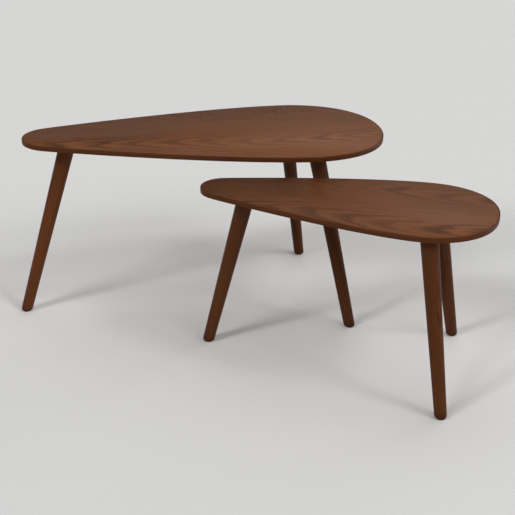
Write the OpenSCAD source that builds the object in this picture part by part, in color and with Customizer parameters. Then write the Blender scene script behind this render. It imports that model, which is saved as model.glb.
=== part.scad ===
// Nesting tables: a set of two free-standing teardrop tables on splayed, tapered round legs.
// Each top is a veneered board with a solid-wood lipping bent round its edge. Each leg screws
// into an angled steel plate under the board, and stands on a nailed glide.
// Millimetres, +Z up, floor at z = 0. The large table's length lies along +X, its tip towards -X.
// The origin is on the floor, at the middle of the set's footprint.

/* [Large table] */
// Height of the large table
large_h = 450; // [430:5:470]
// Length of the large top, from its tip to its wide end
large_len = 902; // [880:2:920]
// Greatest width of the large top
large_wid = 446; // [430:2:460]

/* [Small table] */
// Height of the small table
small_h = 405; // [390:1:408]
// Length of the small top, from its tip to its wide end
small_len = 679; // [660:1:700]
// Greatest width of the small top
small_wid = 339; // [325:1:350]
// Turn of the small table from the large one, seen from above
small_turn = -23.7; // [-28:0.1:-20]
// Tip of the small top, from the large tip, along and across the large table
small_tip = [416, -251]; // [-270:1:440]

/* [Outline of both tops] */
// Radius of the tip, as a share of the length
tip_share = 0.088; // [0.08:0.001:0.11]
// Angle between the sides and the centre line where they leave the tip
side_angle = 19.5; // [17:0.5:24]
// Distance from the tip to the widest point, as a share of the length
widest_share = 0.762; // [0.72:0.001:0.8]
// Fullness of a side, at the tip and before the widest point, as shares of the length
side_pull = [0.22, 0.164]; // [0.1:0.001:0.3]
// Fullness of the wide end, along and across, as shares of its own half axes
end_pull = [0.51, 0.67]; // [0.4:0.005:0.8]

/* [Board] */
// Thickness of a finished top
board_t = 12; // [10:0.5:18]
// Thickness of the face veneer and of the backing veneer
veneer_t = 0.6; // [0.4:0.1:1]
// Width of the lipping round the edge
lipping_w = 3; // [2:0.5:8]

/* [Legs] */
// Diameter of a leg at its top
leg_top_d = 40; // [36:1:44]
// Diameter of a leg at the floor
leg_foot_d = 27.5; // [24:0.5:30]
// Large table's tip leg: its axis at the underside, from the tip and from the centre line
large_tip_head = [112, -1]; // [-20:1:140]
// Large table's tip leg: its axis at the floor
large_tip_foot = [-17, -41]; // [-60:1:20]
// Large table's rear leg: its axis at the underside
large_rear_head = [681, 146]; // [100:1:700]
// Large table's rear leg: its axis at the floor
large_rear_foot = [749, 237]; // [200:1:780]
// Large table's front leg: its axis at the underside
large_front_head = [706, -147]; // [-170:1:740]
// Large table's front leg: its axis at the floor
large_front_foot = [792, -229]; // [-260:1:820]
// Small table's tip leg: its axis at the underside
small_tip_head = [110, -2]; // [-20:1:130]
// Small table's tip leg: its axis at the floor
small_tip_foot = [16, -3]; // [-30:1:40]
// Small table's rear leg: its axis at the underside
small_rear_head = [532, 113]; // [90:1:560]
// Small table's rear leg: its axis at the floor
small_rear_foot = [589, 201]; // [180:1:620]
// Small table's front leg: its axis at the underside
small_front_head = [540, -114]; // [-130:1:560]
// Small table's front leg: its axis at the floor
small_front_foot = [606, -198]; // [-220:1:630]

/* [Leg fittings] */
// Side of the square leg plate
plate_w = 60; // [56:1:64]
// Thickness of the leg plate
plate_t = 2; // [1.5:0.5:3]
// Depth of the plate's angled boss, from the plate to the middle of the leg's top
boss_depth = 8; // [7:0.5:10]
// Diameter of the angled boss
boss_d = 32; // [28:1:36]
// Diameter of the hanger bolt that joins a leg to its plate
bolt_d = 8; // [6:1:10]
// Depth of the hanger bolt in the leg
bolt_in_leg = 38; // [30:1:50]
// Distance from the plate's middle to its screws, along and across
screw_pitch = 22; // [21:0.5:23]
// Diameter of a plate screw
screw_d = 4; // [3.5:0.5:4.5]
// Length of a plate screw under its head
screw_len = 10; // [9:0.5:11]
// Diameter of a glide
glide_d = 20; // [16:1:22]
// Thickness of a glide
glide_t = 2.5; // [2:0.5:4]
// Length of a glide's nail
nail_len = 14; // [10:1:20]

/* [Hidden] */
SIZES = ["large", "small"];
CORNERS = ["tip", "rear", "front"];
function names(stem) = [for (s = SIZES, c = CORNERS) str(s, "_", stem, "_", c)];
$fn = 64;

walnut = [0.43, 0.29, 0.21];
walnut_dark = [0.31, 0.18, 0.11];
fibreboard = [0.62, 0.48, 0.34];
steel = [0.55, 0.55, 0.57];
nylon = [0.16, 0.10, 0.07];

// Counts of straight steps in each half outline: round the tip, along the side, round the wide end
tip_steps = 8;
side_steps = 10;
end_steps = 12;

// One entry for each table, large first
height = [large_h, small_h];
top_len = [large_len, small_len];
top_wid = [large_wid, small_wid];
turn = [0, small_turn];
tip_at = [[0, 0], small_tip];
heads = [[large_tip_head, large_rear_head, large_front_head],
         [small_tip_head, small_rear_head, small_front_head]];
feet = [[large_tip_foot, large_rear_foot, large_front_foot],
        [small_tip_foot, small_rear_foot, small_front_foot]];

bore_gap = 0.1;      // spare diameter of a hole round a screw, bolt or nail
screw_hole_gap = 0.5; // spare diameter of a plate's screw hole
head_d = 8;          // screw head
head_h = 2.4;
slot_w = 1;          // cross recess in a screw head
slot_len = 4.6;
slot_depth = 1.3;
nail_d = 2.6;
glide_chamfer = 0.5;
bolt_short = 1.6;    // how far the bolt's end stays below the board
reach = 100;         // longer than any fitting, for cuts

// ---- Outline ----
function bezier(a, b, c, d, u) =
    pow(1 - u, 3) * a + 3 * pow(1 - u, 2) * u * b + 3 * (1 - u) * u * u * c + pow(u, 3) * d;

// Points from the tip to just before the wide end, on the +Y side
function half_outline(len, half_w) =
    let (r = tip_share * len,
         leave = [r - r * sin(side_angle), r * cos(side_angle)],
         along = [cos(side_angle), sin(side_angle)],
         widest = [widest_share * len, half_w],
         end_len = (1 - widest_share) * len)
    concat(
        [for (i = [0 : tip_steps - 1]) let (a = i / tip_steps * (90 - side_angle))
            [r - r * cos(a), r * sin(a)]],
        [for (i = [0 : side_steps - 1])
            bezier(leave, leave + along * side_pull[0] * len,
                widest - [side_pull[1] * len, 0], widest, i / side_steps)],
        [for (i = [0 : end_steps - 1])
            bezier(widest, widest + [end_pull[0] * end_len, 0],
                [len, end_pull[1] * half_w], [len, 0], i / end_steps)]);

// Closed outline, anticlockwise from the tip
function full_outline(t) =
    let (half = half_outline(top_len[t], top_wid[t] / 2), n = len(half))
    concat([for (p = half) [p.x, -p.y]],
        [[top_len[t], 0]],
        [for (i = [n - 1 : -1 : 1]) half[i]]);

// Outline moved inwards by a distance
function outline(t, inwards) =
    let (p = full_outline(t), n = len(p))
    [for (i = [0 : n - 1])
        let (step = p[(i + 1) % n] - p[(i + n - 1) % n])
        p[i] + inwards / norm(step) * [-step.y, step.x]];

// ---- Places ----
function under(t) = height[t] - board_t;
function lean(t, i) = feet[t][i] - heads[t][i];
function splay(t, i) = atan(norm(lean(t, i)) / under(t));
function swing(t, i) = atan2(lean(t, i).y, lean(t, i).x);
// Length of a leg's axis from the floor to the leg's top face
function leg_len(t, i) = (under(t) - plate_t - boss_depth) / cos(splay(t, i));
// Middle of a leg's sole, on top of its glide
function sole(t, i) = feet[t][i] - lean(t, i) * glide_t / under(t);

function turned(p, a) = [p.x * cos(a) - p.y * sin(a), p.x * sin(a) + p.y * cos(a)];
function on_floor(t, p) = tip_at[t] + turned(p, turn[t]);
// Points round a leg's sole, which is an ellipse because the leg leans
function sole_rim(t, i) =
    [for (a = [0 : 5 : 355])
        sole(t, i) + turned([cos(a) / cos(splay(t, i)), sin(a)] * leg_foot_d / 2, swing(t, i))];
footprint = [for (t = [0, 1]) each concat(
    [for (p = full_outline(t)) on_floor(t, p)],
    [for (i = [0 : 2]) each [for (p = sole_rim(t, i)) on_floor(t, p)]])];
middle = [
    (min([for (p = footprint) p.x]) + max([for (p = footprint) p.x])) / 2,
    (min([for (p = footprint) p.y]) + max([for (p = footprint) p.y])) / 2];

// Frame of one table: its tip at [0, 0], its length along +X, the floor at z = 0
module table_frame(t) {
    translate(tip_at[t] - middle) rotate(turn[t]) children();
}

// Frame of one leg: its axis along +Z from the floor up, leaning in under the top
module leg_frame(t, i) {
    translate(feet[t][i]) rotate(swing(t, i)) rotate([0, -splay(t, i), 0]) children();
}

// Frame of one plate: z = 0 at the underside, +X the way the leg swings out
module plate_frame(t, i) {
    translate([heads[t][i].x, heads[t][i].y, under(t)]) rotate(swing(t, i)) children();
}

module at_screws() {
    for (x = [-1, 1], y = [-1, 1]) translate([x, y, 0] * screw_pitch) children();
}

// ---- Top ----
module board(t, inwards, low, high) {
    translate([0, 0, low]) linear_extrude(high - low) polygon(outline(t, inwards));
}

module pilot_holes(t) {
    for (i = [0 : 2]) plate_frame(t, i) at_screws()
        translate([0, 0, -1]) cylinder(d = screw_d + bore_gap, h = screw_len - plate_t + 1.5);
}

module top_core(t) {
    color(fibreboard) table_frame(t) difference() {
        board(t, lipping_w, under(t) + veneer_t, height[t] - veneer_t);
        pilot_holes(t);
    }
}

module top_face_veneer(t) {
    color(walnut) table_frame(t) board(t, lipping_w, height[t] - veneer_t, height[t]);
}

module top_backing_veneer(t) {
    color(walnut_dark) table_frame(t) difference() {
        board(t, lipping_w, under(t), under(t) + veneer_t);
        pilot_holes(t);
    }
}

module top_lipping(t) {
    color(walnut_dark) table_frame(t) difference() {
        board(t, 0, under(t), height[t]);
        board(t, lipping_w, under(t) - 1, height[t] + 1);
    }
}

// ---- Leg and its fittings ----
module leg(t, i) {
    length = leg_len(t, i);
    below = leg_foot_d / 2;
    taper = (leg_top_d - leg_foot_d) / 2 / length;
    color(walnut_dark) table_frame(t) difference() {
        intersection() {
            leg_frame(t, i) translate([0, 0, -below])
                cylinder(r1 = leg_foot_d / 2 - taper * below, r2 = leg_top_d / 2, h = length + below);
            translate([-top_len[t], -top_len[t], glide_t]) cube([3, 2, 1] * top_len[t]);
        }
        leg_frame(t, i) translate([0, 0, length - bolt_in_leg - 1])
            cylinder(d = bolt_d + bore_gap, h = bolt_in_leg + 2);
        translate([sole(t, i).x, sole(t, i).y, glide_t - 1])
            cylinder(d = nail_d + bore_gap, h = nail_len + 1.5);
    }
}

module plate(t, i) {
    length = leg_len(t, i);
    color(steel) table_frame(t) difference() {
        union() {
            plate_frame(t, i) translate([0, 0, -plate_t]) linear_extrude(plate_t) intersection() {
                square(plate_w, center = true);
                circle(d = plate_w * 1.25);
            }
            intersection() {
                leg_frame(t, i) translate([0, 0, length]) cylinder(d = boss_d, h = reach);
                plate_frame(t, i) translate([-reach, -reach, -reach - plate_t / 2])
                    cube([2, 2, 1] * reach);
            }
        }
        leg_frame(t, i) translate([0, 0, length - 1]) cylinder(d = bolt_d + bore_gap, h = reach);
        plate_frame(t, i) at_screws() translate([0, 0, -reach])
            cylinder(d = screw_d + screw_hole_gap, h = 2 * reach);
    }
}

module bolt(t, i) {
    to_board = (plate_t + boss_depth) / cos(splay(t, i));
    color(steel) table_frame(t) leg_frame(t, i) translate([0, 0, leg_len(t, i) - bolt_in_leg])
        cylinder(d = bolt_d, h = bolt_in_leg + to_board - bolt_short);
}

module screws(t, i) {
    color(steel) table_frame(t) plate_frame(t, i) at_screws() translate([0, 0, -plate_t])
        difference() {
            union() {
                cylinder(d = screw_d, h = screw_len);
                translate([0, 0, -head_h / 2]) cylinder(d = head_d, h = head_h / 2);
                translate([0, 0, -head_h]) cylinder(d1 = head_d * 0.7, d2 = head_d, h = head_h / 2);
            }
            for (a = [0, 90]) rotate(a) translate([-slot_len / 2, -slot_w / 2, -head_h - 1])
                cube([slot_len, slot_w, slot_depth + 1]);
        }
}

module glide(t, i) {
    color(nylon) table_frame(t) translate([sole(t, i).x, sole(t, i).y, 0]) union() {
        cylinder(d1 = glide_d - 2 * glide_chamfer, d2 = glide_d, h = glide_chamfer);
        translate([0, 0, glide_chamfer]) cylinder(d = glide_d, h = glide_t - glide_chamfer);
        cylinder(d = nail_d, h = glide_t + nail_len);
    }
}

// ---- The set ----
for (t = [0, 1]) {
    stem = str(SIZES[t], "_top_");
    top_core(t);
    top_face_veneer(t);
    top_backing_veneer(t);
    top_lipping(t);
}
for (t = [0, 1], i = [0 : 2]) {
    leg(t, i);
    plate(t, i);
    bolt(t, i);
    screws(t, i);
    glide(t, i);
}
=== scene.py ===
"""Nesting tables: the looks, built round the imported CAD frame. Metres, +Z up, floor at z = 0.

Each top is rebuilt from the frame's own outline as a smooth veneer, backing and lipping with eased
arrises, and each leg as a turned piece with a rounded foot. The steel and nylon fittings are the
frame's. Every colour, grain and gloss is a node material.
"""

import math

import bmesh
import bpy
import numpy as np
from mathutils import Matrix, Vector


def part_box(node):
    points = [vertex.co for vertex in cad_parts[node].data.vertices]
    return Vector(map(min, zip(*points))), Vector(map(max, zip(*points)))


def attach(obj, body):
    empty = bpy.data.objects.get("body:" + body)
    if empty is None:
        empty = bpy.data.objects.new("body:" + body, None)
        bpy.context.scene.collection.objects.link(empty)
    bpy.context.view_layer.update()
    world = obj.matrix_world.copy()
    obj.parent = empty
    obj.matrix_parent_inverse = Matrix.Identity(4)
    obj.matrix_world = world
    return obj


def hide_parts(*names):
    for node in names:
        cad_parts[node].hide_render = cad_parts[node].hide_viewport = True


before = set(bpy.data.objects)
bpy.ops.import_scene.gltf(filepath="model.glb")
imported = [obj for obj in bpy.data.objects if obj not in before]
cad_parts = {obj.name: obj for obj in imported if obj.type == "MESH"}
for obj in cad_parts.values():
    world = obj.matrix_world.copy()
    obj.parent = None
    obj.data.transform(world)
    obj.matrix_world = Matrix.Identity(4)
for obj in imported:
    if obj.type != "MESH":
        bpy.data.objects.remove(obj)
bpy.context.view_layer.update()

SIZES = ("large", "small")
CORNERS = ("tip", "rear", "front")

# ---- Tops ----
RIM_POINTS = 480            # points round each smooth outline
SPLINE_STEPS = 24           # points worked out between two corners of the frame's outline
ARRIS = 0.0012              # radius of the lipping's eased arrises
ARRIS_STEPS = 5
JOINT_EASE = 0.00012        # the fine joint line between lipping and veneer

# ---- Legs ----
LEG_TOP_R = 0.020
LEG_FOOT_R = 0.01375
LEG_SEGMENTS = 96
SIDE_RINGS = 24
TOP_EASE = 0.0012           # rounding of a leg's upper edge
FOOT_ROUND = 0.004          # how far the foot's rounding reaches in over the sole
FOOT_RISE = (0.0035, 0.0095)    # and up the leg, on its inner and its outer side
ROUND_STEPS = 7
BOLT_BORE = (0.00405, 0.0385)   # radius and depth
NAIL_BORE = (0.00135, 0.0145)

SHARP_ANGLE = 50.0          # degrees; flatter edges are shaded smooth

# ---- Wood colours: linear, late wood and then stained early wood ----
TOP_WOOD = ((0.205, 0.070, 0.0215), (0.050, 0.0145, 0.0045))
RIM_WOOD = ((0.098, 0.031, 0.0105), (0.046, 0.0135, 0.0045))
LEG_WOOD = ((0.118, 0.038, 0.0122), (0.048, 0.0142, 0.0046))

# Each leg's tone: partly its blank's own, partly painted light and shade, lighter on the large table's
# tip leg, which the key lamp reaches, and darker on the legs that stand in the tops' shade
LEG_TONES_AND_PAINTED_LIGHT = {("large", "tip"): 1.20, ("large", "rear"): 0.78, ("large", "front"): 0.78,
             ("small", "tip"): 0.92, ("small", "rear"): 0.78, ("small", "front"): 0.88}
FOOT_PAINTED_SHADE = 0.68            # painted shade at the foot, where its rounding faces down, against the side
FOOT_FADE = (0.002, 0.020)  # where along the leg that painted shade starts and ends
RUBBED = 1.9                # the lipping's upper arris where it is rubbed
RUB_CENTRE = 0.3            # the rubbing's middle round the section: arris radii past the lipping's width
RUB_CELLS = 14.0            # patches of rubbing a metre
RUB_PATCHES = (0.42, 0.62, 0.15, 1.0)   # noise from and to, and how far it is rubbed there

TOP_GLOSS, LEG_GLOSS = 0.19, 0.07     # the matt lacquer's specular level
FACE_ROUGHNESS, WOOD_ROUGHNESS = 0.36, 0.42
ROUGHNESS_DRIFT = 0.04      # either way, from place to place
PORE_ROUGHNESS = 0.18       # added in the pores
BROAD_TONE = (0.90, 1.10)   # darkest and lightest broad patches
WOOD_BUMP = 0.000025
SHADE_HOLLOW = 0.4          # how deep stained wood lies, against a pore

# ---- How each kind of piece is cut from its trunk ----
# In metres: Heart, its place across the piece; Depth, how far the heart lies below the surface;
# Ring, a year's growth. Taper: how far the rings narrow in each metre of trunk. Figure: how strongly
# the rings show.
FACE_CUT = {"Depth": 0.11, "Taper": 0.07, "Ring": 0.0065, "Figure": 1.0}
BACK_CUT = {"Heart": 0.30, "Depth": 0.09, "Taper": 0.01, "Ring": 0.0030, "Figure": 0.7}
RIM_CUT = {"Heart": -0.06, "Depth": 0.03, "Taper": 0.004, "Ring": 0.0028, "Figure": 0.8}
LEG_CUT = {"Heart": 0.012, "Depth": 0.055, "Taper": 0.012, "Ring": 0.0026, "Figure": 1.0}

# Each piece's seed, so that no two have the same grain
FACE_SEEDS = {"large": 1.0, "small": 4.0}
LEAF_SEED, BACK_SEED, RIM_SEED = 2.7, 8.0, 12.0     # added to the face's
LEG_SEED, CORNER_SEED, SIZE_SEED = 20.0, 3.0, 11.0

# Two leaves of veneer meet on each face: where they meet, and each one's heart, across the table
FACE_LEAVES = {"large": (0.050, (-0.072, 0.172)), "small": (-0.006, (-0.106, 0.094))}
# How each top lightens along its length: partly the stain's own drift, partly painted light, with painted
# shade towards the small top's tip, where the large top shades it, and a painted sheen towards the large
# top's wide end. Between two places from the tip, and its two tones
FACE_STAIN_AND_PAINTED_LIGHT = {"large": (0.10, 0.80, 0.97, 1.15), "small": (0.0, 0.38, 0.62, 1.03)}
# How far the rings ripple near the heart of the far leaf, and the stretch that ripples, from the tip
FACE_RIPPLES = {"large": (0.5, 0.38, 0.80), "small": (0.10, 0.10, 0.50)}
RIPPLE_FADE = 0.12          # length over which the ripple comes and goes

# ---- The wood's own structure; CELLS are a metre, along the grain, across it and into the board ----
WANDER_CELLS, WANDER_LANE, WANDER_REACH = 3.0, 7.3, 0.075   # the heart's wandering along the trunk
SLOW_CELLS, SLOW_YEARS = (6.0, 24.0, 24.0), 1.5             # uneven growth, in years
QUICK_CELLS, QUICK_YEARS = (40.0, 160.0, 160.0), 0.6
RIPPLE_WIDTH = 0.055        # either side of the heart
RIPPLE_ALONG, RIPPLE_ACROSS, RIPPLE_SWAY = 300.0, 170.0, 14.0    # radians a metre, and with growth
# How strongly the stain shows through a year: open early wood takes it darkest, just after the start
YEAR_STOPS = ((0.0, 0.70), (0.06, 1.0), (0.26, 0.85), (0.48, 0.28), (0.70, 0.0), (0.94, 0.05),
              (1.0, 0.70))
YEAR_LUCK = (0.45, 1.0)     # weakest and strongest year
PATCH_CELLS, PATCH_REACH = (2.5, 9.0, 9.0), (0.6, 1.0)      # patches of weaker figure
MIDDLE_WIDTH, MIDDLE_REACH = 0.09, (1.0, 0.55)              # the figure at the heart and away from it
FIBRE_CELLS, STREAK_CELLS = (22.0, 900.0, 900.0), (5.0, 230.0, 230.0)
PORE_CELLS = (95.0, 2600.0, 2600.0)
PORE_CLUSTER = 0.12         # how far pores gather in the early wood
PORE_LEVELS = (0.60, 0.74)  # noise at which a pore starts and is full
BROAD_CELLS = (1.8, 6.0, 6.0)
BAND_SHADE, STREAK_SHADE, FIBRE_SHADE, PORE_SHADE = 0.95, 0.16, 0.14, 0.22
# The stretch of a noise's values that is spread over a range
NARROW, WIDE = (0.35, 0.65), (0.3, 0.7)

# ---- Fittings and core; CELLS are a metre ----
CORE_CELLS, CORE_BUMP = (900.0, 900.0, 900.0), 0.0001
CORE_COLOURS = ((0.30, 0.19, 0.10), (0.42, 0.29, 0.17))
CORE_ROUGHNESS = 0.85
SPANGLE_CELLS, ROLLING_CELLS = (140.0, 140.0, 140.0), (60.0, 2400.0, 2400.0)
STEEL_COLOURS = ((0.42, 0.44, 0.46), (0.62, 0.63, 0.64))
STEEL_ROUGHNESS, STEEL_BUMP = (0.26, 0.42), 0.00002
SCUFF_CELLS, SCUFF_LEVELS = (700.0, 700.0, 2500.0), (0.5, 0.75)
NYLON_COLOURS = ((0.022, 0.012, 0.008), (0.060, 0.038, 0.026))
NYLON_ROUGHNESS, NYLON_BUMP = (0.42, 0.68), 0.00004

# ---- Studio ----
EYE = (-0.334, -2.388, 1.270)
LOOK_YAW = -8.965           # degrees; 0 looks along +Y
LOOK_DOWN = 23.918
CAMERA_ROLL = 0.939
LENS = 76.0                 # mm
SENSOR = 36.0               # mm wide
VIEW_END = 200.0            # how far the camera sees
FLOOR_HALF = 60.0
FLOOR_COLOUR = (0.800, 0.796, 0.788)
FLOOR_ROUGHNESS, FLOOR_GLOSS = 0.9, 0.2
# Each lamp: compass direction towards it (0 is +X, 90 is +Y), height and width in degrees, strength
LAMPS = {
    "key_strip_low": (-151.5, 31.5, 10.0, 0.70),
    "key_strip_high": (-140.5, 43.0, 12.0, 0.44),
    "fill_strip_low": (-45.0, 40.0, 9.0, 0.17),
    "fill_strip_high": (-32.5, 52.5, 12.0, 0.38),
    "front_panel": (-60.0, 38.0, 28.0, 0.38),
    "front_panel_left": (-90.0, 38.0, 28.0, 0.23),
    "low_panel_front": (-30.0, 14.0, 26.0, 0.35),
    "low_panel": (0.0, 14.0, 26.0, 0.27),
    "low_panel_back": (30.0, 14.0, 26.0, 0.50),
    "side_panel": (0.0, 45.0, 28.0, 0.10),
    "back_panel": (60.0, 38.0, 28.0, 0.16),
    "overhead_panel": (90.0, 63.0, 28.0, 0.20),
}
LAMP_DISTANCE = 3.0         # only shows where the lamp stands: its light comes from far off
SKY, BACKDROP = 0.19, 0.68  # the light from all round, and the tone seen past the floor's end


# ---------------------------------------------------------------- Meshes
def new_piece(name, bm, body, material, replaced):
    """Turns a bmesh into a piece that rides on a body and stands for a CAD node."""
    bmesh.ops.recalc_face_normals(bm, faces=bm.faces)
    mesh = bpy.data.meshes.new(name)
    bm.to_mesh(mesh)
    bm.free()
    piece = bpy.data.objects.new(name, mesh)
    bpy.context.scene.collection.objects.link(piece)
    mesh.materials.append(material)
    mesh.polygons.foreach_set("use_smooth", [True] * len(mesh.polygons))
    mesh.set_sharp_from_angle(angle=math.radians(SHARP_ANGLE))
    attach(piece, body)
    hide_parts(replaced)
    return piece


def skin(bm, rings, closed=False):
    """Quads between neighbouring rings of vertices; closed joins the last ring to the first."""
    pairs = list(zip(rings, rings[1:])) + ([(rings[-1], rings[0])] if closed else [])
    for a, b in pairs:
        for i in range(len(a)):
            j = (i + 1) % len(a)
            bm.faces.new((a[i], a[j], b[j], b[i]))


def add_ring(bm, points):
    return [bm.verts.new(p) for p in points]


# ---------------------------------------------------------------- Outline of a top
def cad_outline(node):
    """The corners of a flat CAD panel's outline, in order round its middle."""
    points = {(round(v.co.x, 5), round(v.co.y, 5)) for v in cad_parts[node].data.vertices}
    middle = np.mean(list(points), axis=0)
    return np.array(sorted(points, key=lambda p: math.atan2(p[1] - middle[1], p[0] - middle[0])))


def periodic_spline(points, count):
    """A closed cubic spline through the points, given back as evenly spaced points."""
    n = len(points)
    step = np.linalg.norm(np.roll(points, -1, axis=0) - points, axis=1)
    system = np.zeros((n, n))
    slopes = np.zeros((n, 2))
    for i in range(n):
        h0, h1 = step[i - 1], step[i]
        system[i, i - 1], system[i, i], system[i, (i + 1) % n] = h0, 2 * (h0 + h1), h1
        slopes[i] = 6 * ((points[(i + 1) % n] - points[i]) / h1 - (points[i] - points[i - 1]) / h0)
    bend = np.linalg.solve(system, slopes)
    dense = []
    for i in range(n):
        a, b, h = points[i], points[(i + 1) % n], step[i]
        ma, mb = bend[i], bend[(i + 1) % n]
        for u in np.linspace(0, 1, SPLINE_STEPS, endpoint=False):
            v = 1 - u
            dense.append(v * a + u * b + h * h / 6 * ((v ** 3 - v) * ma + (u ** 3 - u) * mb))
    dense = np.array(dense + dense[:1])
    run = np.concatenate([[0], np.cumsum(np.linalg.norm(np.diff(dense, axis=0), axis=1))])
    even = np.linspace(0, run[-1], count, endpoint=False)
    return np.stack([np.interp(even, run, dense[:, k]) for k in (0, 1)], axis=1)


def outward(outline):
    """Unit normals of an anticlockwise outline, pointing out."""
    along = np.roll(outline, -1, axis=0) - np.roll(outline, 1, axis=0)
    along /= np.linalg.norm(along, axis=1)[:, None]
    return np.stack([along[:, 1], -along[:, 0]], axis=1)


class Top:
    """One top's smooth outline and levels, read from the frame."""

    def __init__(self, size):
        veneer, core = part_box(size + "_top_face_veneer"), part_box(size + "_top_core")
        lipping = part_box(size + "_top_lipping")
        self.size = size
        self.inner = periodic_spline(cad_outline(size + "_top_face_veneer"), RIM_POINTS)
        self.normals = outward(self.inner)
        self.lipping_w = lipping[1].x - veneer[1].x
        self.high, self.low = lipping[1].z, lipping[0].z
        self.face_low, self.back_high = core[1].z, core[0].z
        self.place_length_axis()

    def place_length_axis(self):
        """The tip and the direction of the length: the farthest two points of the outline."""
        gaps = np.linalg.norm(self.inner[:, None] - self.inner[None], axis=2)
        a, b = np.unravel_index(gaps.argmax(), gaps.shape)
        middle = self.inner.mean(axis=0)
        ends = sorted((self.inner[a], self.inner[b]), key=lambda p: -np.linalg.norm(p - middle))
        self.tip, wide_end = ends
        along = wide_end - self.tip
        self.turn = math.atan2(along[1], along[0])

    def ring(self, outwards, z):
        return [(x, y, z) for x, y in self.inner + outwards * self.normals]


def panel(bm, top, low, high, eased):
    """A flat sheet that fills the lipping, with one fine eased edge at level eased."""
    if eased == high:
        rings = [(low, 0.0), (high - JOINT_EASE, 0.0), (high, -JOINT_EASE)]
    else:
        rings = [(low, -JOINT_EASE), (low + JOINT_EASE, 0.0), (high, 0.0)]
    made = [add_ring(bm, top.ring(out, z)) for z, out in rings]
    skin(bm, made)
    bm.faces.new(made[0])
    bm.faces.new(made[-1])


def lipping_profile(top):
    """(distance out from the veneer, level) round the lipping's section, from the joint line."""
    w, high, low = top.lipping_w, top.high, top.low
    arc = [(1 - math.cos(a), 1 - math.sin(a)) for a in
           np.linspace(math.pi / 2, 0, ARRIS_STEPS + 1)]
    upper = [(w - ARRIS * sx, high - ARRIS * sz) for sx, sz in arc]
    lower = [(w - ARRIS * sx, low + ARRIS * sz) for sx, sz in reversed(arc)]
    joint_high = [(0.0, high - JOINT_EASE), (JOINT_EASE, high)]
    joint_low = [(JOINT_EASE, low), (0.0, low + JOINT_EASE)]
    return joint_high + upper + lower + joint_low


def add_lipping(top, body, material):
    """The lipping as a closed ring, with its grain coordinates in a UV map: metres along and around."""
    bm = bmesh.new()
    profile = lipping_profile(top)
    skin(bm, [add_ring(bm, top.ring(out, z)) for out, z in profile], closed=True)
    around = [0.0]
    for (x0, z0), (x1, z1) in zip(profile, profile[1:]):
        around.append(around[-1] + math.hypot(x1 - x0, z1 - z0))
    step = np.linalg.norm(np.diff(top.inner, axis=0), axis=1).mean()
    uv = bm.loops.layers.uv.new("grain")
    bm.verts.index_update()
    for face in bm.faces:
        columns = [v.index % RIM_POINTS for v in face.verts]
        wraps = max(columns) - min(columns) > 1
        for loop, column in zip(face.loops, columns):
            run = column + (RIM_POINTS if wraps and column == 0 else 0)
            loop[uv].uv = (run * step, around[loop.vert.index // RIM_POINTS])
    return new_piece(top.size + "_edge_lipping", bm, body, material,
                     top.size + "_top_lipping")


def add_top(size, body):
    top = Top(size)
    face, back = bmesh.new(), bmesh.new()
    panel(face, top, top.face_low, top.high, top.high)
    panel(back, top, top.low, top.back_high, top.low)
    new_piece(size + "_veneered_face", face, body, face_material(top),
              size + "_top_face_veneer")
    new_piece(size + "_veneered_back", back, body, back_material(top),
              size + "_top_backing_veneer")
    add_lipping(top, body, lipping_material(top))
    set_material(size + "_top_core", core_material(size))


# ---------------------------------------------------------------- Legs
class Leg:
    """One leg's axis, from the middle of its glide to the middle of its plate."""

    def __init__(self, size, corner):
        self.size, self.corner = size, corner
        glide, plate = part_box(f"{size}_glide_{corner}"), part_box(f"{size}_plate_{corner}")
        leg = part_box(f"{size}_leg_{corner}")
        head = Vector(((plate[0].x + plate[1].x) / 2, (plate[0].y + plate[1].y) / 2, plate[1].z))
        self.sole = Vector(((glide[0].x + glide[1].x) / 2, (glide[0].y + glide[1].y) / 2, leg[0].z))
        self.up = (head - self.sole).normalized()
        # The top face is square to the axis, so its highest point is above the axis's end
        rise = LEG_TOP_R * math.sqrt(1 - self.up.z ** 2)
        self.length = (leg[1].z - rise - leg[0].z) / self.up.z
        self.out = self.up.cross(Vector((0, 0, 1))).normalized()
        self.across = self.up.cross(self.out)

    def radius(self, s):
        return LEG_FOOT_R + (LEG_TOP_R - LEG_FOOT_R) * s / self.length

    def round_axis(self, a):
        return math.cos(a) * self.out + math.sin(a) * self.across

    def on_side(self, a, s):
        return self.sole + s * self.up + self.radius(s) * self.round_axis(a)

    def side_at_sole(self, a):
        """Distance along the axis at which the side meets the level of the sole."""
        grow = (LEG_TOP_R - LEG_FOOT_R) / self.length
        tilt = self.round_axis(a).z
        return -LEG_FOOT_R * tilt / (self.up.z + grow * tilt)

    def rotation(self):
        """Turns +X to the leg's axis, for its grain."""
        return Matrix((self.up, self.out, self.across)).transposed().to_euler()


def curve(a, corner, b, steps):
    """Points that round off a corner from a to b."""
    for i in range(steps + 1):
        u = i / steps
        yield (1 - u) ** 2 * a + 2 * u * (1 - u) * corner + u * u * b


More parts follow.
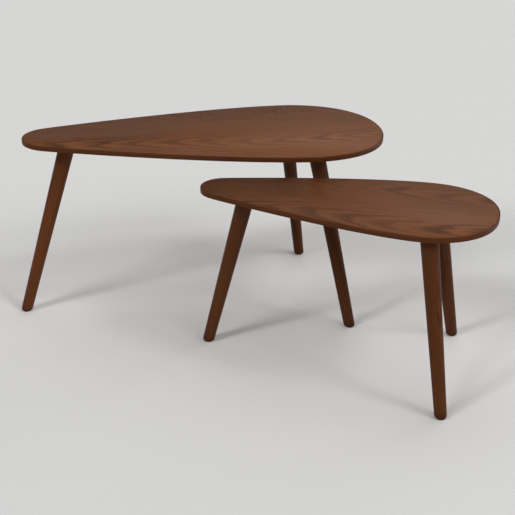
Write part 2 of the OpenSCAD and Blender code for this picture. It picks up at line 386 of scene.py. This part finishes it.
def leg_column(leg, a):
    """Points down one side of a leg: bolt bore, top face, side, rounded foot, sole and nail bore."""
    around = leg.round_axis(a)
    top = leg.sole + leg.length * leg.up
    bore_r, bore_depth = BOLT_BORE
    nail_r, nail_depth = NAIL_BORE
    points = [top - bore_depth * leg.up + bore_r * around, top + bore_r * around]
    points += curve(top + (LEG_TOP_R - TOP_EASE) * around, top + LEG_TOP_R * around,
                    leg.on_side(a, leg.length - TOP_EASE), ROUND_STEPS)
    sole_s = leg.side_at_sole(a)
    outer = (1 + around.z / math.sqrt(1 - leg.up.z ** 2)) / 2
    last = sole_s + FOOT_RISE[0] + outer * (FOOT_RISE[1] - FOOT_RISE[0])
    for i in range(1, SIDE_RINGS):
        s = leg.length - TOP_EASE + (last - leg.length + TOP_EASE) * i / SIDE_RINGS
        points.append(leg.on_side(a, s))
    rim = leg.on_side(a, sole_s)
    inwards = (leg.sole - rim).normalized()
    points += curve(leg.on_side(a, last), rim, rim + FOOT_ROUND * inwards, ROUND_STEPS)
    level = Vector((-inwards.x, -inwards.y, 0)).normalized()
    nail = leg.sole + nail_r * level
    return points + [nail, nail + Vector((0, 0, nail_depth))]


def add_leg(size, corner, body):
    leg = Leg(size, corner)
    bm = bmesh.new()
    columns = [leg_column(leg, 2 * math.pi * k / LEG_SEGMENTS) for k in range(LEG_SEGMENTS)]
    rings = [add_ring(bm, ring) for ring in zip(*columns)]
    skin(bm, rings)
    bm.faces.new(rings[0])
    bm.faces.new(rings[-1])
    new_piece(f"{size}_turned_leg_{corner}", bm, body, leg_material(leg),
              f"{size}_leg_{corner}")


# ---------------------------------------------------------------- Node helpers
MIX_A, MIX_B, MIX_RESULT = 6, 7, 2      # a Mix node's sockets for colours


class Tree:
    """Short calls for building a node tree; values may be numbers or sockets."""

    def __init__(self, tree):
        self.tree = tree

    def node(self, kind, **settings):
        made = self.tree.nodes.new(kind)
        for key, value in settings.items():
            setattr(made, key, value)
        return made

    def feed(self, socket, value):
        if isinstance(value, bpy.types.NodeSocket):
            self.tree.links.new(value, socket)
        elif value is not None:
            socket.default_value = value

    def math(self, operation, *values, clamp=False):
        made = self.node("ShaderNodeMath", operation=operation, use_clamp=clamp)
        for socket, value in zip(made.inputs, values):
            self.feed(socket, value)
        return made.outputs[0]

    def add(self, a, b, clamp=False):
        return self.math("ADD", a, b, clamp=clamp)

    def less(self, a, b):
        return self.math("SUBTRACT", a, b)

    def times(self, a, b):
        return self.math("MULTIPLY", a, b)

    def scaled(self, vector, factors):
        made = self.node("ShaderNodeVectorMath", operation="MULTIPLY")
        self.feed(made.inputs[0], vector)
        self.feed(made.inputs[1], factors)
        return made.outputs[0]

    def parts(self, vector):
        made = self.node("ShaderNodeSeparateXYZ")
        self.feed(made.inputs[0], vector)
        return made.outputs

    def join(self, x, y, z):
        made = self.node("ShaderNodeCombineXYZ")
        for socket, value in zip(made.inputs, (x, y, z)):
            self.feed(socket, value)
        return made.outputs[0]

    def place(self):
        """The place on the piece, in metres in the shared frame."""
        return self.node("ShaderNodeTexCoord").outputs["Object"]

    def noise(self, vector, detail=2.0, roughness=0.5):
        """Noise about 0.5, at one cell for each unit of the vector."""
        made = self.node("ShaderNodeTexNoise", noise_dimensions="3D")
        self.feed(made.inputs["Vector"], vector)
        made.inputs["Scale"].default_value = 1.0
        made.inputs["Detail"].default_value = detail
        made.inputs["Roughness"].default_value = roughness
        return made.outputs["Fac"]

    def ramp(self, value, stops):
        """A value that follows (position, level) stops."""
        made = self.node("ShaderNodeValToRGB")
        self.feed(made.inputs[0], value)
        points = made.color_ramp.elements
        while len(points) < len(stops):
            points.new(0.5)
        for point, (place, level) in zip(points, stops):
            point.position = place
            point.color = (level, level, level, 1)
        grey = self.node("ShaderNodeRGBToBW")
        self.feed(grey.inputs[0], made.outputs[0])
        return grey.outputs[0]

    def range(self, value, low, high, to_low, to_high):
        """A value from low to high, as one from to_low to to_high, held at both ends."""
        made = self.node("ShaderNodeMapRange", clamp=True)
        for socket, v in zip(made.inputs, (value, low, high, to_low, to_high)):
            self.feed(socket, v)
        return made.outputs[0]

    def mix(self, share, a, b):
        """Colour mix."""
        made = self.node("ShaderNodeMix", data_type="RGBA")
        self.feed(made.inputs["Factor"], share)
        for socket, colour in ((MIX_A, a), (MIX_B, b)):
            is_socket = isinstance(colour, bpy.types.NodeSocket)
            self.feed(made.inputs[socket], colour if is_socket else (*colour, 1))
        return made.outputs[MIX_RESULT]

    def brightened(self, colour, factor):
        made = self.node("ShaderNodeVectorMath", operation="SCALE")
        self.feed(made.inputs[0], colour)
        self.feed(made.inputs["Scale"], factor)
        return made.outputs[0]


def new_material(name, gloss=0.5):
    """An empty material with a shader; gives the material, its tree and the shader."""
    material = bpy.data.materials.new(name)
    material.use_nodes = True
    tree = Tree(material.node_tree)
    shader = material.node_tree.nodes["Principled BSDF"]
    shader.inputs["Specular IOR Level"].default_value = gloss
    return material, tree, shader


def add_bump(tree, shader, height, distance):
    bump = tree.node("ShaderNodeBump")
    bump.inputs["Strength"].default_value = 1.0
    bump.inputs["Distance"].default_value = distance
    tree.feed(bump.inputs["Height"], height)
    tree.feed(shader.inputs["Normal"], bump.outputs["Normal"])


def set_material(node, material):
    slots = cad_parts[node].data.materials
    slots.clear()
    slots.append(material)


# ---------------------------------------------------------------- Wood
WOOD_INPUTS = ("Heart", "Depth", "Taper", "Ring", "Seed", "Figure", "Ripple")
WOOD_OUTPUTS = ("Shade", "Pores", "Broad")


def distance_to_heart(tree, source, x, y, z):
    """How far a place lies to the side of the wandering heart, and how far from it in all."""
    lane = tree.join(tree.times(x, WANDER_CELLS), tree.times(source["Seed"], WANDER_LANE), 0.0)
    wander = tree.times(tree.less(tree.noise(lane, detail=1.0), 0.5), WANDER_REACH)
    aside = tree.less(tree.less(y, source["Heart"]), wander)
    down = tree.add(source["Depth"], z)
    squares = [tree.math("POWER", side, 2.0) for side in (aside, down)]
    return aside, tree.math("SQRT", tree.add(*squares))


def growth_rings(tree, source, here, x, y, aside, radius):
    """The growth at a place, in years: cones about the heart, uneven and rippled."""
    slow = tree.less(tree.noise(tree.scaled(here, SLOW_CELLS)), 0.5)
    quick = tree.less(tree.noise(tree.scaled(here, QUICK_CELLS)), 0.5)
    uneven = tree.add(tree.times(slow, SLOW_YEARS), tree.times(quick, QUICK_YEARS))
    near = tree.range(tree.math("ABSOLUTE", aside), 0.0, RIPPLE_WIDTH, 1.0, 0.0)
    slant = tree.add(tree.times(x, RIPPLE_ALONG), tree.times(y, RIPPLE_ACROSS))
    waves = tree.math("SINE", tree.add(slant, tree.times(slow, RIPPLE_SWAY)))
    uneven = tree.add(uneven, tree.times(tree.times(waves, source["Ripple"]), near))
    cone = tree.less(radius, tree.times(source["Taper"], x))
    return tree.add(tree.math("DIVIDE", cone, source["Ring"]), uneven)


def early_bands(tree, source, here, aside, growth):
    """How strongly the stained early wood shows; each year and each patch differs."""
    year, phase = tree.math("FLOOR", growth), tree.math("FRACT", growth)
    luck = tree.node("ShaderNodeTexWhiteNoise", noise_dimensions="2D")
    tree.feed(luck.inputs["Vector"], tree.join(year, source["Seed"], 0.0))
    band = tree.times(tree.ramp(phase, YEAR_STOPS),
                      tree.range(luck.outputs["Value"], 0.0, 1.0, *YEAR_LUCK))
    patch = tree.noise(tree.scaled(here, PATCH_CELLS), detail=1.0)
    middle = tree.range(tree.math("ABSOLUTE", aside), 0.0, MIDDLE_WIDTH, *MIDDLE_REACH)
    strength = tree.times(tree.range(patch, *NARROW, *PATCH_REACH), middle)
    return tree.times(tree.times(band, strength), source["Figure"])


def wood_group():
    """Stained ring-porous wood. Grain is metres: x along the trunk, y across, z into the board.

    The rings are cones about a heart that lies Depth below the face, so a flat cut shows a cathedral
    figure, whose arches lie Ring / Taper apart.
    """
    group = bpy.data.node_groups.new("stained_wood", "ShaderNodeTree")
    group.interface.new_socket("Grain", in_out="INPUT", socket_type="NodeSocketVector")
    for name in WOOD_INPUTS:
        group.interface.new_socket(name, in_out="INPUT", socket_type="NodeSocketFloat")
    for name in WOOD_OUTPUTS:
        group.interface.new_socket(name, in_out="OUTPUT", socket_type="NodeSocketFloat")
    tree = Tree(group)
    source, sink = tree.node("NodeGroupInput").outputs, tree.node("NodeGroupOutput").inputs
    x, y, z = tree.parts(source["Grain"])
    here = tree.join(x, y, tree.add(z, source["Seed"]))
    aside, radius = distance_to_heart(tree, source, x, y, z)
    growth = growth_rings(tree, source, here, x, y, aside, radius)
    band = early_bands(tree, source, here, aside, growth)

    dash = tree.noise(tree.scaled(here, PORE_CELLS), detail=1.0)
    pores = tree.range(tree.add(dash, tree.times(band, PORE_CLUSTER)), *PORE_LEVELS, 0.0, 1.0)
    streak = tree.noise(tree.scaled(here, STREAK_CELLS))
    fibre = tree.noise(tree.scaled(here, FIBRE_CELLS), detail=3.0, roughness=0.6)
    shade = tree.add(tree.times(band, BAND_SHADE), tree.range(streak, *NARROW, 0.0, STREAK_SHADE))
    shade = tree.add(shade, tree.range(fibre, *WIDE, 0.0, FIBRE_SHADE))
    shade = tree.add(shade, tree.times(pores, PORE_SHADE), clamp=True)
    tree.feed(sink["Shade"], shade)
    tree.feed(sink["Pores"], pores)
    tree.feed(sink["Broad"], tree.noise(tree.scaled(here, BROAD_CELLS)))
    return group


WOOD = wood_group()


def wood(tree, shader, grain, tones, roughness, cut, drift=None):
    """Feeds a shader with stained wood; drift lightens or darkens it from place to place, with wear,
    stain drift and painted light and shade as each caller gives it.
    """
    group = tree.node("ShaderNodeGroup")
    group.node_tree = WOOD
    tree.feed(group.inputs["Grain"], grain)
    for name, value in cut.items():
        tree.feed(group.inputs[name], value)
    shade, pores, broad = (group.outputs[name] for name in WOOD_OUTPUTS)
    colour = tree.brightened(tree.mix(shade, *tones), tree.range(broad, *WIDE, *BROAD_TONE))
    if drift is not None:
        colour = tree.brightened(colour, drift)
    rough = tree.range(broad, *WIDE, roughness - ROUGHNESS_DRIFT, roughness + ROUGHNESS_DRIFT)
    tree.feed(shader.inputs["Base Color"], colour)
    tree.feed(shader.inputs["Roughness"], tree.add(rough, tree.times(pores, PORE_ROUGHNESS)))
    hollow = tree.add(pores, tree.times(shade, SHADE_HOLLOW))
    add_bump(tree, shader, tree.less(0.0, hollow), WOOD_BUMP)


def grain_from(tree, origin, rotation):
    """The place on the piece, seen from origin and turned so that x runs along the grain."""
    made = tree.node("ShaderNodeMapping", vector_type="TEXTURE")
    tree.feed(made.inputs["Vector"], tree.place())
    made.inputs["Location"].default_value = origin
    made.inputs["Rotation"].default_value = rotation
    return made.outputs[0]


def face_material(top):
    """Two leaves of veneer, each with its own heart; the far one's rings ripple."""
    material, tree, shader = new_material(top.size + "_face_veneer", TOP_GLOSS)
    grain = grain_from(tree, (*top.tip, top.high), (0, 0, top.turn))
    along, across, _ = tree.parts(grain)
    joint, hearts = FACE_LEAVES[top.size]
    far_leaf = tree.math("GREATER_THAN", across, joint)
    reach, start, end = FACE_RIPPLES[top.size]
    ripple = tree.times(tree.range(along, start, start + RIPPLE_FADE, 0.0, reach),
                        tree.range(along, end - RIPPLE_FADE, end, 1.0, 0.0))
    cut = {**FACE_CUT,
           "Heart": tree.range(far_leaf, 0.0, 1.0, *hearts),
           "Seed": tree.add(tree.times(far_leaf, LEAF_SEED), FACE_SEEDS[top.size]),
           "Ripple": tree.times(ripple, far_leaf)}
    # Painted shade towards the small top's tip and a painted sheen towards the large top's wide end, with
    # part of the stain's own drift
    drift = tree.range(along, *FACE_STAIN_AND_PAINTED_LIGHT[top.size])
    wood(tree, shader, grain, TOP_WOOD, FACE_ROUGHNESS, cut, drift)
    return material


def back_material(top):
    """Plain balancing veneer, cut well to one side of the heart."""
    material, tree, shader = new_material(top.size + "_backing_veneer", TOP_GLOSS)
    grain = grain_from(tree, (*top.tip, top.low), (0, 0, top.turn))
    cut = {**BACK_CUT, "Seed": FACE_SEEDS[top.size] + BACK_SEED}
    wood(tree, shader, grain, TOP_WOOD, WOOD_ROUGHNESS, cut)
    return material


def lipping_material(top):
    """Solid lipping, a little rubbed along its upper arris."""
    material, tree, shader = new_material(top.size + "_lipping_wood", LEG_GLOSS)
    grain = tree.node("ShaderNodeUVMap", uv_map="grain").outputs[0]
    run, around, _ = tree.parts(grain)
    from_arris = tree.math("ABSOLUTE", tree.less(around, top.lipping_w + RUB_CENTRE * ARRIS))
    near = tree.range(from_arris, 0.0, ARRIS, 1.0, 0.0)
    lane = tree.join(tree.times(run, RUB_CELLS), FACE_SEEDS[top.size], 0.0)
    rubbed = tree.times(near, tree.range(tree.noise(lane, detail=5.0), *RUB_PATCHES))
    cut = {**RIM_CUT, "Seed": FACE_SEEDS[top.size] + RIM_SEED}
    drift = tree.range(rubbed, 0.0, 1.0, 1.0, RUBBED)
    wood(tree, shader, grain, RIM_WOOD, WOOD_ROUGHNESS, cut, drift)
    return material


def leg_material(leg):
    """One leg's wood: its tone is partly the blank's own and partly painted light and shade, with painted
    shade at the foot.
    """
    material, tree, shader = new_material(f"{leg.size}_leg_{leg.corner}_wood", LEG_GLOSS)
    grain = grain_from(tree, leg.sole, leg.rotation())
    blank = CORNER_SEED * CORNERS.index(leg.corner) + SIZE_SEED * SIZES.index(leg.size)
    # Painted shade towards the foot, where its rounding faces down
    foot_shade = tree.range(tree.parts(grain)[0], *FOOT_FADE, FOOT_PAINTED_SHADE, 1.0)
    # Each leg's tone: partly the blank's own, partly painted light and shade
    leg_tone_and_light = tree.times(foot_shade, LEG_TONES_AND_PAINTED_LIGHT[leg.size, leg.corner])
    cut = {**LEG_CUT, "Seed": LEG_SEED + blank}
    wood(tree, shader, grain, LEG_WOOD, WOOD_ROUGHNESS, cut, leg_tone_and_light)
    return material


def core_material(size):
    """Raw fibreboard."""
    material, tree, shader = new_material(size + "_fibreboard")
    speck = tree.noise(tree.scaled(tree.place(), CORE_CELLS), detail=3.0)
    tree.feed(shader.inputs["Base Color"], tree.mix(speck, *CORE_COLOURS))
    shader.inputs["Roughness"].default_value = CORE_ROUGHNESS
    add_bump(tree, shader, speck, CORE_BUMP)
    return material


# ---------------------------------------------------------------- Fittings
def steel_material():
    """Zinc-plated steel: cool spangle, fine rolling lines and a little dulling."""
    material, tree, shader = new_material("zinc_plated_steel")
    cloud = tree.noise(tree.scaled(tree.place(), SPANGLE_CELLS), detail=3.0)
    lines = tree.noise(tree.scaled(tree.place(), ROLLING_CELLS))
    tree.feed(shader.inputs["Base Color"], tree.mix(cloud, *STEEL_COLOURS))
    shader.inputs["Metallic"].default_value = 1.0
    tree.feed(shader.inputs["Roughness"], tree.range(cloud, *WIDE, *STEEL_ROUGHNESS))
    add_bump(tree, shader, lines, STEEL_BUMP)
    return material


def nylon_material():
    """Dark brown nylon, scuffed where it slides."""
    material, tree, shader = new_material("brown_nylon")
    scuff = tree.noise(tree.scaled(tree.place(), SCUFF_CELLS), detail=4.0, roughness=0.7)
    worn = tree.range(scuff, *SCUFF_LEVELS, 0.0, 1.0)
    tree.feed(shader.inputs["Base Color"], tree.mix(worn, *NYLON_COLOURS))
    tree.feed(shader.inputs["Roughness"], tree.range(worn, 0.0, 1.0, *NYLON_ROUGHNESS))
    add_bump(tree, shader, scuff, NYLON_BUMP)
    return material


def finish_fittings():
    steel, nylon = steel_material(), nylon_material()
    for size in SIZES:
        for corner in CORNERS:
            for stem in ("plate", "bolt", "screws"):
                set_material(f"{size}_{stem}_{corner}", steel)
            set_material(f"{size}_glide_{corner}", nylon)


# ---------------------------------------------------------------- Studio
def add_floor():
    bm = bmesh.new()
    corners = ((-1, -1), (1, -1), (1, 1), (-1, 1))
    bm.faces.new(add_ring(bm, [(x * FLOOR_HALF, y * FLOOR_HALF, 0.0) for x, y in corners]))
    mesh = bpy.data.meshes.new("floor")
    bm.to_mesh(mesh)
    bm.free()
    floor = bpy.data.objects.new("floor", mesh)
    bpy.context.scene.collection.objects.link(floor)
    material, _, shader = new_material("pale_floor", FLOOR_GLOSS)
    shader.inputs["Base Color"].default_value = (*FLOOR_COLOUR, 1)
    shader.inputs["Roughness"].default_value = FLOOR_ROUGHNESS
    mesh.materials.append(material)


def add_lamp(name, compass, height, width, strength):
    """A broad, distant studio lamp."""
    data = bpy.data.lights.new(name, "SUN")
    data.angle = math.radians(width)
    data.energy = strength
    lamp = bpy.data.objects.new(name, data)
    a, e = math.radians(compass), math.radians(height)
    towards = Vector((math.cos(a) * math.cos(e), math.sin(a) * math.cos(e), math.sin(e)))
    lamp.rotation_mode = "QUATERNION"
    lamp.rotation_quaternion = towards.to_track_quat("Z", "Y")
    lamp.location = LAMP_DISTANCE * towards
    bpy.context.scene.collection.objects.link(lamp)


def add_sky():
    """Even light from all round, with a pale backdrop where the view passes over the floor's end."""
    world = bpy.data.worlds.new("studio")
    world.use_nodes = True
    bpy.context.scene.world = world
    tree = Tree(world.node_tree)
    seen = tree.node("ShaderNodeLightPath").outputs["Is Camera Ray"]
    grey = tree.range(seen, 0.0, 1.0, SKY, BACKDROP)
    tree.feed(world.node_tree.nodes["Background"].inputs["Color"], tree.join(grey, grey, grey))


def add_camera():
    data = bpy.data.cameras.new("camera")
    data.sensor_width = SENSOR
    data.lens = LENS
    data.clip_end = VIEW_END
    camera = bpy.data.objects.new("camera", data)
    camera.matrix_world = (Matrix.Translation(EYE)
                           @ Matrix.Rotation(math.radians(LOOK_YAW), 4, "Z")
                           @ Matrix.Rotation(math.radians(90 - LOOK_DOWN), 4, "X")
                           @ Matrix.Rotation(math.radians(CAMERA_ROLL), 4, "Z"))
    bpy.context.scene.collection.objects.link(camera)
    bpy.context.scene.camera = camera


def main():
    add_camera()
    for size in SIZES:
        body = size + "_table"
        add_top(size, body)
        for corner in CORNERS:
            add_leg(size, corner, body)
    finish_fittings()
    add_floor()
    for name, lamp in LAMPS.items():
        add_lamp(name, *lamp)
    add_sky()
    bpy.context.scene.view_settings.view_transform = "Standard"


main()
